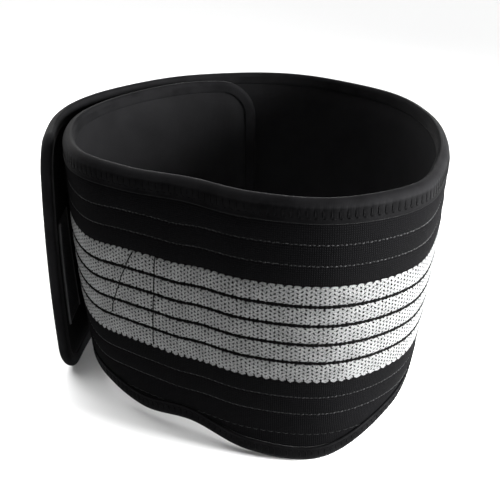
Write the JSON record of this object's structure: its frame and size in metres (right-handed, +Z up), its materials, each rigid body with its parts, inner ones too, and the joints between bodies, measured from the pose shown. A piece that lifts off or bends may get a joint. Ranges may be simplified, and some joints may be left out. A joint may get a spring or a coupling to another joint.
{
  "type": "back support belt",
  "caption": "Wide padded waist belt with ribbed elastic bands, a pale band round its middle and a rolled edge, closed into a standing ring with its flap over the inner end",
  "frame": {"origin": "on the floor that the belt stands on, at the middle of its footprint", "axes": "+Z up along the wearer's spine, -Y towards the side with the deep lobe, +X to the right seen from that side"},
  "size_m": [0.2837, 0.2948, 0.1883],
  "materials": {
    "lining": "matte brushed knit",
    "black_elastic": "matte ribbed knit",
    "silver_elastic": "satin ribbed mesh knit",
    "edge_tape": "soft satin fold-over tape",
    "hook_tape": "matte woven hook tape"
  },
  "bodies": {
    "root": {"padded_strip": "lining", "upper_elastic": "black_elastic", "silver_elastic": "silver_elastic", "lower_elastic": "black_elastic", "edge_tape": "edge_tape", "hook_strip": "hook_tape"}
  },
  "joints": []
}
